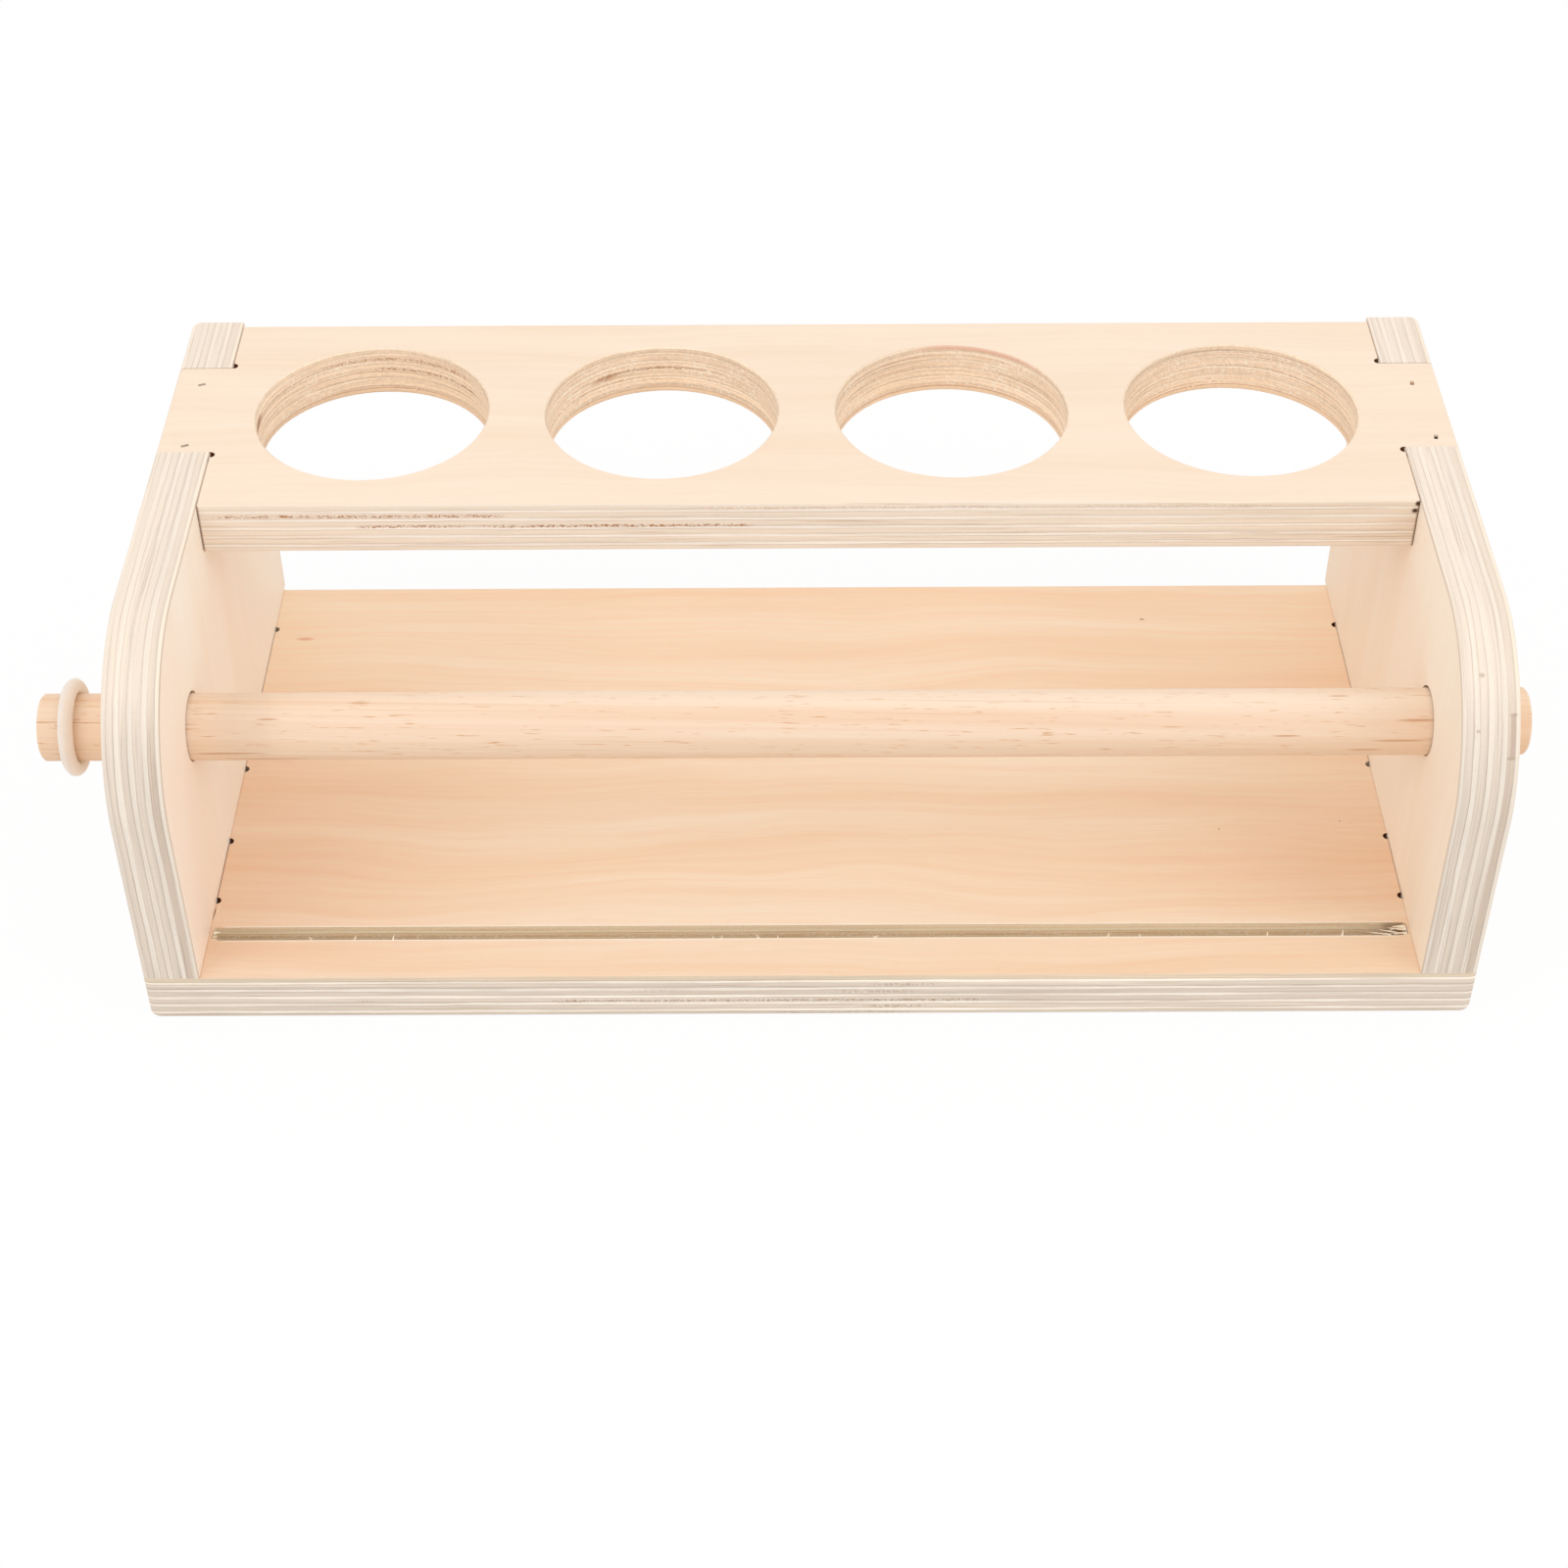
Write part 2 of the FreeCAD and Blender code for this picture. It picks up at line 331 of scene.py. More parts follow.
# pale broken fibres that stand out of a rough cut, inside a patch
fuzzSetup = {
    "specks": ((0.51, 0.60), (1.1, 1.1, 1.6), 3.0, 0.75), "clumps": ((0.36, 0.54), (0.09, 0.09, 0.25)),
}


def buildFuzz():
    group, source, sink = newGroup("fuzz", {"Place": "Vector", "Patch": "Float"}, {"Mask": "Float"})
    specks = patchy(source["Place"], *fuzzSetup["specks"])
    clumps = patchy(source["Place"], *fuzzSetup["clumps"])
    link(times(specks, clumps, source["Patch"]), sink["Mask"])
    return group


veneerFigure = buildVeneerFigure()
plyEdge = buildPlyEdge()
tornRow = buildTornRow()
fuzz = buildFuzz()


def newMaterial(name):
    material = bpy.data.materials.new(name)
    startTree(material)
    surface = addNode("BsdfPrincipled")
    link(surface.outputs[0], addNode("OutputMaterial").inputs["Surface"])
    return material, surface.inputs


# place on the piece in millimetres
def piecePlace():
    return scaled(addNode("TexCoord").outputs["Object"], 1 / mm)


def pieceNormal():
    return separate(addNode("TexCoord").outputs["Normal"])


# the last links of a material, with its bump and its shine from the look
def finishSurface(look, surface, colour, rough, height):
    link(colour, surface["Base Color"])
    link(rough, surface["Roughness"])
    settings = {"Height": height, "Strength": look["bump"], "Distance": look["bumpDepth"]}
    link(addNode("Bump", settings).outputs[0], surface["Normal"])
    if "specular" in look:
        surface["Specular IOR Level"].default_value = look["specular"]


def dress(node, material):
    nodes[node].data.materials.clear()
    nodes[node].data.materials.append(material)


# what the four plywood boards share
softEdge = 0.3      # millimetres over which most drawn marks fade
boardLook = {
    "faceEdge": (0.80, 0.97), "alongStep": 9.0, "tornPaleShare": 0.8,
    "faceRough": 0.58, "edgeRough": 0.74, "specular": 0.25, "bump": 0.35, "bumpDepth": 0.12 * mm,
}
boardThickness, plyCount = 15.0, 11
elevenPlies = {"Pitch": 2 * boardThickness / plyCount, "PaleAt": 1.5 * boardThickness / plyCount}
tornBrown = paint(170, 116, 70)
tornPale = paint(254, 246, 232)
burnt = paint(112, 62, 34)


# board space: along the grain, across it and down through the plies, and how much a spot is face, not edge
def startBoard(look):
    material, surface = newMaterial(look["material"])
    x, y, z = separate(piecePlace())
    normal = pieceNormal()
    low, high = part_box(look["node"])
    if look["stack"] == "Z":
        along, facing = x, normal["Z"]
        depth = calc("SUBTRACT", high.z / mm, z)
    else:
        along, facing = z, normal["X"]
        depth = calc("SUBTRACT", x, low.x / mm)
    place = combine(along, y, depth)
    onFace = ramp(calc("ABSOLUTE", facing), *boardLook["faceEdge"])
    shift = (look["seed"] * boardLook["alongStep"], look["seed"], 0.0)
    ownPlace = addNode("VectorMath", {0: place, 1: shift}, operation="ADD").outputs[0]
    return types.SimpleNamespace(
        material=material, surface=surface, normal=normal, onFace=onFace,
        x=x, y=y, z=z, depth=depth, place=place, ownPlace=ownPlace,
    )


# cut plies of a board, with the second set of settings where the share is one
def edgeColours(board, share, first, second):
    settings = {"Place": board.ownPlace}
    for name in plyNumbers:
        settings[name] = mixNumber(share, first[name], second.get(name, first[name]))
    for name in plyColours:
        settings[name] = mixColour(share, first[name], second.get(name, first[name]))
    return placeGroup(plyEdge, settings)


# rows are depth, from, to and how strong
def addTornRows(board, colour, rows, where, brown=tornBrown):
    for level, start, stop, share in rows:
        torn = placeGroup(tornRow, {"Place": board.place, "Depth": level, "From": start, "To": stop})
        colour = marked(colour, brown, torn["Brown"], where, share)
        colour = marked(colour, tornPale, torn["Pale"], where, boardLook["tornPaleShare"])
    return colour


def addFuzz(board, colour, patch, share):
    torn = placeGroup(fuzz, {"Place": board.place, "Patch": patch})
    return marked(colour, tornPale, torn["Mask"], share)


def finishBoard(look, board, cut, edgeColour, faceColour=None):
    onFace = board.onFace
    settings = {"Place": board.ownPlace, "Light": look["light"], "Warm": look["warm"]}
    figure = placeGroup(veneerFigure, settings)
    face = faceColour(figure["Color"]) if faceColour else figure["Color"]
    rough = between(onFace, 0.0, 1.0, boardLook["edgeRough"], boardLook["faceRough"])
    height = mixNumber(onFace, cut["Height"], figure["Height"])
    finishSurface(boardLook, board.surface, mixColour(onFace, edgeColour, face), rough, height)
    dress(look["node"], board.material)


# the base, with its slot, the burnt reliefs beside the panels, the marks on its face, and painted shade and
# light on face and slot
baseLook = {
    "node": "base_board", "material": "basePlywood", "stack": "Z", "seed": 31.0,
    "light": paint(253, 233, 208), "warm": paint(247, 210, 175),
    "edge": {
        **elevenPlies, "PaleHalf": 0.17, "Contrast": 1.4, "Grain": 0.10,
        "Pale": paint(255, 244, 230), "Beige": paint(227, 211, 194), "Glue": paint(168, 144, 120),
    },
    # the slot walls get near-white colours, painted light that lifts the shade inside the narrow slot
    "slot": {
        "PaleHalf": -0.2, "Contrast": 0.8, "Grain": 0.4,
        "Beige": paint(255, 238, 208), "Glue": paint(206, 156, 106),
    },
    "slotMargin": 0.6, "slotReach": (164.0, 0.5), "slotWander": (0.4, (0.03, 0.03, 0.1)),
    "slotStains": [(0.1, 0.05, 0.35), (1.0, 0.4, 0.2), (2.7, 0.08, 0.3), (3.6, 0.3, 0.3)],
    "stain": paint(196, 142, 92),
    "slotLine": (2.1, 0.1, 0.15), "slotLineColour": paint(255, 250, 230), "slotLineShare": 0.9,
    "slotEnd": (155.0, 159.0), "slotEndShare": 0.45, "slotEndColour": paint(150, 100, 62),
    "slotFuzz": (2.6, 5.5, 0.6),
    "slotArris": 0.5, "arrisReach": (159.0, 2.0), "arrisShare": 0.85, "arrisColour": paint(255, 245, 228),
    "burntSpan": (160.6, 164.8), "burntReach": (80.0, 1.0), "reliefHalf": (4.0, 1.5),
    "cleanReliefs": [(-1.0, 66.0, 0.7), (-1.0, -1.8, 0.4), (1.0, -1.8, 0.75)],
    "jointLines": [(-1.0, -90.0, 90.0, 0.22), (1.0, -90.0, 90.0, 0.15), (-1.0, -56.0, -31.0, 0.4)],
    "jointSpan": (163.5, 163.8), "jointSoft": 0.8, "jointColour": paint(150, 96, 66),
    "crack": (-163.7, -61.0, 0.35, 2.6), "crackShare": 0.6, "crackColour": paint(140, 96, 66),
    "frontSpan": (-79.0, -77.0), "topPly": (0.0, 1.5, 0.4), "topTint": (1.0, 0.965, 0.875, 1.0),
    "tornRows": [
        (9.3, -73.0, 49.0, 0.8), (9.1, -124.0, -117.0, 0.9), (3.3, 15.0, 36.0, 0.6), (6.0, 5.0, 31.0, 0.45),
        (11.7, 12.0, 33.0, 0.7), (14.1, -10.0, 30.0, 0.5), (5.2, -49.0, -35.0, 0.25),
    ],
    "tornColour": paint(156, 122, 96),
    "cornerTint": (0.97, 0.905, 0.875, 1.0), "cornerSpan": (60.0, 165.0), "cornerBack": (5.0, 55.0),
    "behindSlot": (-69.0, -61.0), "rightSpan": (-10.0, 10.0), "rightShare": 0.55,
    "shading": (-60.0, 60.0, 0.95, 1.06),
    "knot": (-154.1, 60.1, 2.8, 0.9), "knotShare": 0.6, "knotColour": paint(228, 160, 122),
    "specks": [(151.4, -25.3, 0.35, 0.3), (116.7, -28.4, 0.35, 0.3), (104.3, 68.0, 0.8, 0.5)],
    "speckShare": 0.7, "speckColour": paint(150, 104, 76),
}


def dressBase():
    look = baseLook
    board = startBoard(look)
    x, y, depth = board.x, board.y, board.depth
    slotMiddle = (slotFront + slotBack) / 2
    slotHalf = (slotBack - slotFront) / 2
    fromMiddle = calc("ABSOLUTE", x)
    atSlot = nearTo(y, slotMiddle, slotHalf + look["slotMargin"], softEdge)
    inSlot = times(atSlot, nearTo(x, 0.0, *look["slotReach"]))
    cut = edgeColours(board, inSlot, look["edge"], look["slot"])
    onFront = below(y, *look["frontSpan"])
    colour = tinted(cut["Color"], look["topTint"], nearTo(depth, *look["topPly"]), onFront)
    colour = addTornRows(board, colour, look["tornRows"], onFront, look["tornColour"])
    level = swayBy(depth, board.place, *look["slotWander"])
    # brown bands along the slot walls at set depths
    for middle, half, share in look["slotStains"]:
        colour = marked(colour, look["stain"], nearTo(level, middle, half, softEdge), inSlot, share)
    # a pale ply line in the slot, pushed near white: a real pale ply with painted light on it
    paleLine = nearTo(level, *look["slotLine"])
    colour = marked(colour, look["slotLineColour"], paleLine, inSlot, look["slotLineShare"])
    darkEnd = ramp(x, *look["slotEnd"])
    colour = marked(colour, look["slotEndColour"], darkEnd, inSlot, look["slotEndShare"])
    colour = addFuzz(board, colour, inSlot, within(depth, *look["slotFuzz"]))
    inside = nearTo(y, 0.0, *look["burntReach"])
    reliefs = times(within(fromMiddle, *look["burntSpan"], softEdge), opposite(inSlot), inside)
    for side, middle, share in look["cleanReliefs"]:
        onSide = ramp(calc("MULTIPLY", x, side), 0.0, 1.0)
        cleanCut = times(onSide, nearTo(y, middle, *look["reliefHalf"]), share)
        reliefs = times(reliefs, opposite(cleanCut))

    def markedAndShadedFace(colour):
        # painted shade: the face is darker near the panels, on the right only behind the slot and more
        # weakly
        rightShare = times(ramp(y, *look["behindSlot"]), look["rightShare"])
        sideShare = mixNumber(ramp(x, *look["rightSpan"]), 1.0, rightShare)
        corner = ramp(fromMiddle, *look["cornerSpan"])
        colour = tinted(colour, look["cornerTint"], corner, below(y, *look["cornerBack"]), sideShare)
        # painted highlight: a pale strip along the top edges of the slot
        besideSlot = nearTo(y, slotMiddle, slotHalf + look["slotArris"], softEdge)
        alongSlot = nearTo(x, 0.0, *look["arrisReach"])
        colour = marked(colour, look["arrisColour"], besideSlot, alongSlot, look["arrisShare"])
        # painted shade: the face is scaled darker towards the front and lighter towards the back
        colour = scaled(colour, between(y, *look["shading"]))
        colour = marked(colour, look["knotColour"], spotAt(x, y, *look["knot"]), look["knotShare"])
        for spot in look["specks"]:
            colour = marked(colour, look["speckColour"], spotAt(x, y, *spot), look["speckShare"])
        # dark lines where the panels meet the base: partly real joint seams, partly painted crease shade
        for side, start, stop, share in look["jointLines"]:
            atJoint = ramp(calc("MULTIPLY", x, side), *look["jointSpan"])
            line = within(y, start, stop, look["jointSoft"])
            colour = marked(colour, look["jointColour"], atJoint, line, share)
        return marked(colour, look["crackColour"], spotAt(x, y, *look["crack"]), look["crackShare"])

    finishBoard(look, board, cut, marked(colour, burnt, reliefs), markedAndShadedFace)


# the shelf, with rougher cut plies in its cup holes
shelfLook = {
    "node": "cup_shelf", "material": "shelfPlywood", "stack": "Z", "seed": 7.0,
    "light": paint(248, 228, 207), "warm": paint(243, 216, 189),
    "edge": {
        **elevenPlies, "PaleHalf": 0.15, "Contrast": 0.75, "Grain": 0.12,
        "Pale": paint(251, 242, 231), "Beige": paint(241, 225, 207), "Glue": paint(178, 138, 104),
    },
    "hole": {
        "PaleHalf": 0.11, "Contrast": 1.7, "Grain": 0.6,
        "Pale": paint(254, 239, 218), "Beige": paint(245, 224, 199), "Glue": paint(186, 134, 92),
    },
    "holeMargin": 0.6, "holesReach": (0.5, 0.5), "frontSpan": (-1.0, 1.0),
    "frontRows": [
        (3.5, -164.0, -80.0, 1.0), (6.9, -123.0, -14.0, 1.0),
        (1.2, -30.0, 62.0, 0.25), (1.2, 70.0, 128.0, 0.25),
    ],
    "rightEnd": (60.0, 160.0), "rightTint": (0.955, 0.93, 0.90, 1.0),
    "endLine": (163.2, 163.7), "endShare": 0.7, "endColour": paint(140, 92, 58),
    "tears": [(163.4, 0.8, 0.8, 0.8), (162.9, 3.1, 0.9, 0.8)], "tearColour": paint(72, 42, 28),
    "lowPly": (14.3, 0.6, 0.3), "lowShare": 0.5, "lowColour": paint(234, 206, 176),
    "lowLine": (13.2, 0.1, 0.25), "lowLineShare": 0.45,
    "pinkPly": (0.4, 0.5, 0.4), "pinkSpan": (26.0, 72.0, 14.0), "pinkShare": 0.6,
    "pinkColour": paint(224, 170, 146),
    "holeRows": [(3.5, -145.0, -94.0, 0.85), (6.9, -126.0, -92.0, 0.85), (6.9, -62.0, -28.0, 0.85)],
    "clump": (-58.0, 7.2, 4.0, 1.0), "clumpShare": 0.6,
    "fuzzSpans": [
        (-155.0, -126.0), (-76.0, -46.0), (-38.0, -10.0), (6.0, 24.0), (38.0, 70.0), (92.0, 152.0),
    ],
    "fuzzSoft": 6.0, "fuzzDepth": (1.4, 13.6, 1.0), "fuzzShare": 0.85,
    "crack": (41.2, 4.0, 5.0, 1.6), "crackSpan": (-152.0, -150.0), "crackShare": 0.7,
    "crackColour": paint(150, 96, 60),
    "burntSpan": (160.6, 166.0), "burntRows": [(17.0, 27.0), (59.0, 68.0)], "burntSoft": 0.5,
}


def dressShelf():
    look = shelfLook
    board = startBoard(look)
    x, y, depth = board.x, board.y, board.depth
    first, second, last = cupHoles[0]["pos_m"], cupHoles[1]["pos_m"], cupHoles[-1]["pos_m"]
    pitch = (second[0] - first[0]) / mm
    fromHole = calc("WRAP", calc("SUBTRACT", x, first[0] / mm), -pitch / 2, pitch / 2)
    distance = lengthOf(combine(fromHole, calc("SUBTRACT", y, first[1] / mm)))
    past, soft = look["holesReach"]
    amongHoles = nearTo(x, 0.0, last[0] / mm + cupRadius + past, soft)
    inHole = times(nearTo(distance, 0.0, cupRadius + look["holeMargin"], softEdge), amongHoles)
    cut = edgeColours(board, inHole, look["edge"], look["hole"])
    onFront = below(y, *look["frontSpan"])
    fromMiddle = calc("ABSOLUTE", x)
    colour = addTornRows(board, cut["Color"], look["frontRows"], onFront)
    colour = tinted(colour, look["rightTint"], ramp(x, *look["rightEnd"]), onFront)
    endLine = ramp(fromMiddle, *look["endLine"])
    colour = marked(colour, look["endColour"], endLine, onFront, look["endShare"])
    for tear in look["tears"]:
        colour = marked(colour, look["tearColour"], spotAt(x, depth, *tear), onFront)
    lowPly = nearTo(depth, *look["lowPly"])
    colour = marked(colour, look["lowColour"], lowPly, inHole, look["lowShare"])
    lowLine = nearTo(depth, *look["lowLine"])
    colour = marked(colour, look["hole"]["Glue"], lowLine, inHole, look["lowLineShare"])
    pinkPly = times(nearTo(depth, *look["pinkPly"]), within(x, *look["pinkSpan"]))
    colour = marked(colour, look["pinkColour"], pinkPly, inHole, look["pinkShare"])
    colour = addTornRows(board, colour, look["holeRows"], inHole)
    colour = marked(colour, tornBrown, spotAt(x, depth, *look["clump"]), inHole, look["clumpShare"])
    for start, stop in look["fuzzSpans"]:
        span = within(x, start, stop, look["fuzzSoft"])
        patch = times(inHole, span, within(depth, *look["fuzzDepth"]))
        colour = addFuzz(board, colour, patch, look["fuzzShare"])
    crack = times(spotAt(y, depth, *look["crack"]), below(x, *look["crackSpan"]), inHole)
    colour = marked(colour, look["crackColour"], crack, look["crackShare"])
    shoulder = within(fromMiddle, *look["burntSpan"], softEdge)
    for start, stop in look["burntRows"]:
        colour = marked(colour, burnt, shoulder, within(y, start, stop, look["burntSoft"]))
    finishBoard(look, board, cut, colour)


# panels: the plies stand out on upright edges and fade where the edge cuts across the grain; the upright
# edges also get darker colours, painted shade
panelLook = {
    "sloping": {
        "Pitch": 3.5, "PaleAt": 7.5, "PaleHalf": 0.20, "Contrast": 0.6, "Grain": 0.12,
        "Pale": paint(245, 231, 215), "Beige": paint(241, 225, 208), "Glue": paint(204, 180, 158),
    },
    "upright": {
        "Contrast": 0.85,
        "Pale": paint(238, 226, 212), "Beige": paint(226, 211, 195), "Glue": paint(172, 152, 134),
    },
    "uprightEdge": (0.55, 0.99),
    "darkPly": (12.6, 0.7, 0.5), "darkSloping": 0.09, "darkUpright": 0.3, "darkTint": paint(206, 180, 160),
    "lastPly": (13.7, 14.9, 0.25), "lastShare": 0.65,
    "lastSloping": paint(250, 236, 214), "lastUpright": paint(239, 227, 211),
    "innerHalf": (0.1, 0.15), "innerShare": 0.5, "innerColour": paint(188, 156, 130),
    "arcFront": (-50.0, -48.0), "patchSoft": 0.5, "patchShare": 0.7, "tickShare": 0.45,
    "frontSpan": (-70.0, -30.0), "outerEdge": (0.5, 0.9), "outerTint": (0.95, 0.885, 0.82, 1.0),
}
leftLook = {
    "node": "left_side_panel", "material": "leftPlywood", "stack": "X", "seed": 53.0, "outward": -1.0,
    "light": paint(255, 245, 232), "warm": paint(253, 238, 221),
    "innerLine": 14.85, "frontTint": (1.0, 0.955, 0.935, 1.0),
}
rightLook = {
    "node": "right_side_panel", "material": "rightPlywood", "stack": "X", "seed": 89.0, "outward": 1.0,
    "light": paint(254, 242, 226), "warm": paint(252, 234, 213),
    "innerLine": 0.15, "frontTint": (0.962, 0.945, 0.915, 1.0),
    "patch": (12.3, 13.8, 87.2, 96.4), "patchColour": paint(198, 172, 156),
    "ticks": [(13.2, 96.4, 1.1, 0.4), (12.8, 87.2, 1.2, 0.4), (5.4, 103.2, 0.8, 0.4), (4.2, 93.2, 0.6, 0.4)],
    "tickColour": paint(160, 130, 112),
}


def dressPanel(look):
    both = panelLook
    board = startBoard(look)
    y, z, depth = board.y, board.z, board.depth
    upright = ramp(calc("ABSOLUTE", board.normal["Y"]), *both["uprightEdge"])
    cut = edgeColours(board, upright, both["sloping"], both["upright"])
    darkShare = mixNumber(upright, both["darkSloping"], both["darkUpright"])
    colour = tinted(cut["Color"], both["darkTint"], nearTo(depth, *both["darkPly"]), darkShare)
    lastColour = mixColour(upright, both["lastSloping"], both["lastUpright"])
    colour = marked(colour, lastColour, within(depth, *both["lastPly"]), both["lastShare"])
    # painted shade: a thin darker line along the arris at the panel's inner face
    innerLine = nearTo(depth, look["innerLine"], *both["innerHalf"])
    colour = marked(colour, both["innerColour"], innerLine, both["innerShare"])
    if "patch" in look:
        onFront = below(y, *both["arcFront"])
        left, right, low, high = look["patch"]
        patch = times(within(depth, left, right, softEdge), within(z, low, high, both["patchSoft"]))
        colour = marked(colour, look["patchColour"], patch, onFront, both["patchShare"])
        for tick in look["ticks"]:
            spot = spotAt(depth, z, *tick)
            colour = marked(colour, look["tickColour"], spot, onFront, both["tickShare"])

    # the face is darker towards the front; faces turned outwards get painted shade
    def tonedAndShadedFace(colour):
        colour = tinted(colour, look["frontTint"], below(y, *both["frontSpan"]))
        outwards = calc("MULTIPLY", board.normal["X"], look["outward"])
        return tinted(colour, both["outerTint"], ramp(outwards, *both["outerEdge"]))

    finishBoard(look, board, cut, colour, tonedAndShadedFace)


dressBase()
dressShelf()
dressPanel(leftLook)
dressPanel(rightLook)
print("boards dressed in plywood")


# straight-grained softwood on a round rod, in millimetres along it, around it and outwards
pineSetup = {
    "warmth": 0.35, "rings": (1.8, (0.0025, 0.16, 0.1)), "lines": (0.8, (0.005, 0.9, 0.3), 3.0, 0.6),
    "fibres": (0.05, 4.0, 0.5), "fibreShare": 0.5,
    "dashes": ((0.66, 0.76), (0.15, 2.8, 0.4), 1.0), "dashShare": 0.8,
    "threads": ((0.62, 0.74), (0.007, 1.7, 0.4)), "threadShare": 0.25, "markDepth": -0.7,
}
rodLook = {
    "node": "roll_dowel", "material": "pineRod", "slope": 0.02,
    "pale": paint(249, 229, 207), "warm": paint(242, 208, 177), "streak": paint(214, 160, 106),
    "endSpan": (150.0, 185.0), "endTint": (0.99, 0.955, 0.91, 1.0),
    "frontTurn": (0.75, 0.15, 0.45), "frontTint": (0.965, 0.91, 0.88, 1.0),
    "lowTurn": (-0.25, 0.35, 0.35), "lowTint": (0.94, 0.865, 0.80, 1.0),
    "lines": [(3.7, 0.65), (-4.0, 0.35)], "lineHalf": (0.05, 0.15), "lineSpan": (-164.0, -160.0),
    "lineColour": paint(200, 142, 92),
    "marks": [
        (160.0, 6.6, 5.5, 0.4), (155.5, 0.9, 8.0, 0.35), (146.6, -2.5, 5.0, 0.4), (139.8, 14.0, 3.0, 0.3),
        (125.4, 2.5, 4.0, 0.3), (-153.6, -1.9, 10.0, 0.45), (-143.0, -5.2, 11.0, 0.5),
        (-142.7, 8.2, 3.0, 0.3), (-118.6, 13.0, 3.0, 0.3),
    ],
    "markShare": 0.7,
    "smudge": (-159.0, -138.0, 8.0), "smudgeShare": 0.16, "smudgeColour": paint(206, 180, 156),
    "pith": (2.5, -6.0), "ringPitch": 1.7, "ringWander": (1.2, (0.15, 0.15, 0.15)),
    "lateRise": (0.35, 0.9), "lateFall": (0.93, 1.0), "endEdge": (0.85, 0.97),
    "endPale": paint(248, 222, 188), "endDark": paint(214, 166, 116),
    "rough": 0.5, "endRough": 0.75, "specular": 0.3, "bump": 0.3, "bumpDepth": 0.12 * mm,
}


def pineGrain(place, look):
    setup = pineSetup
    fibres = streaks(place, setup["fibres"])
    warmth = swayBy(setup["warmth"], place, *setup["rings"])
    warmth = swayBy(warmth, place, *setup["lines"])
    warmth = sway(warmth, fibres, setup["fibreShare"])
    colour = mixColour(clamped(warmth), look["pale"], look["warm"])
    dashes = times(patchy(place, *setup["dashes"]), setup["dashShare"])
    threads = times(patchy(place, *setup["threads"]), setup["threadShare"])
    marks = calc("MAXIMUM", dashes, threads)
    height = calc("MULTIPLY_ADD", marks, setup["markDepth"], fibres)
    return marked(colour, look["streak"], marks), height


def dressRod():
    look = rodLook
    material, surface = newMaterial(look["material"])
    x, y, z = separate(piecePlace())
    low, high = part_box(look["node"])
    middle = (low + high) / 2 / mm
    radius = (high.z - low.z) / 2 / mm
    sideways = calc("SUBTRACT", y, middle.y)
    upwards = calc("SUBTRACT", z, middle.z)
    turn = calc("ARCTAN2", upwards, calc("MULTIPLY", sideways, -1.0))
    around = calc("MULTIPLY_ADD", turn, radius, calc("MULTIPLY", x, look["slope"]))
    side, height = pineGrain(combine(x, around, radius), look)
    pithSide, pithUp = look["pith"]
    fromPith = combine(calc("SUBTRACT", sideways, pithSide), calc("SUBTRACT", upwards, pithUp))
    growth = swayBy(lengthOf(fromPith), fromPith, *look["ringWander"])
    ring = calc("FRACT", calc("DIVIDE", growth, look["ringPitch"]))
    late = times(ramp(ring, *look["lateRise"]), below(ring, *look["lateFall"]))
    endGrain = mixColour(late, look["endPale"], look["endDark"])
    onEnd = ramp(calc("ABSOLUTE", pieceNormal()["X"]), *look["endEdge"])
    # painted shade: darker and warmer near both ends, beside the panels
    side = tinted(side, look["endTint"], ramp(calc("ABSOLUTE", x), *look["endSpan"]))
    # painted shade: a darker band round the front of the rod
    side = tinted(side, look["frontTint"], nearTo(turn, *look["frontTurn"]))
    # painted shade and a warmer tone along the lower front of the rod
    side = tinted(side, look["lowTint"], nearTo(turn, *look["lowTurn"]))
    leftEnd = below(x, *look["lineSpan"])
    for level, share in look["lines"]:
        line = nearTo(around, level, *look["lineHalf"])
        side = marked(side, look["lineColour"], line, leftEnd, share)
    arc = calc("MULTIPLY", turn, radius)
    for spot in look["marks"]:
        side = marked(side, look["lineColour"], spotAt(x, arc, *spot), look["markShare"])
    # painted reflection: a faint greyish band near the left end
    side = marked(side, look["smudgeColour"], within(x, *look["smudge"]), look["smudgeShare"])
    rough = between(onEnd, 0.0, 1.0, look["rough"], look["endRough"])
    finishSurface(look, surface, mixColour(onEnd, side, endGrain), rough, mixNumber(onEnd, height, late))
    dress(look["node"], material)


dressRod()
print("rod dressed in pine")


def addPiece(name, shape, material, body, smooth):
    bmesh.ops.recalc_face_normals(shape, faces=shape.faces)
    mesh = bpy.data.meshes.new(name)
    shape.to_mesh(mesh)
    shape.free()
    mesh.materials.append(material)
    mesh.polygons.foreach_set("use_smooth", [smooth] * len(mesh.polygons))
    piece = bpy.data.objects.new(name, mesh)
    bpy.context.scene.collection.objects.link(piece)
    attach(piece, body)
    return piece


# the boards' outer edges are crisper in the photograph than packed, so copies stand in for the boards
# a rounding keeps its width along one face and loses most of its depth in the other
crispLook = {
    "rounding": 2.7 * mm, "depthKept": 0.25, "cornerRadius": 43.0 * mm,
    "sharpAngle": 32.0, "merge": 0.001 * mm,
}


def flattened(inset):
    return inset * crispLook["depthKept"] if inset < crispLook["rounding"] else inset


def nearEnd(x):
    return abs(x) > boardEnd - crispLook["rounding"]


def crispFront(spot, low, high):
    x, y, z = spot
    if z < low.z + crispLook["rounding"] or nearEnd(x):
        y = low.y + flattened(y - low.y)
    return x, y, z


def crispTop(spot, low, high):
    x, y, z = spot
    if nearEnd(x):
        z = high.z - flattened(high.z - z)
    return x, y, z


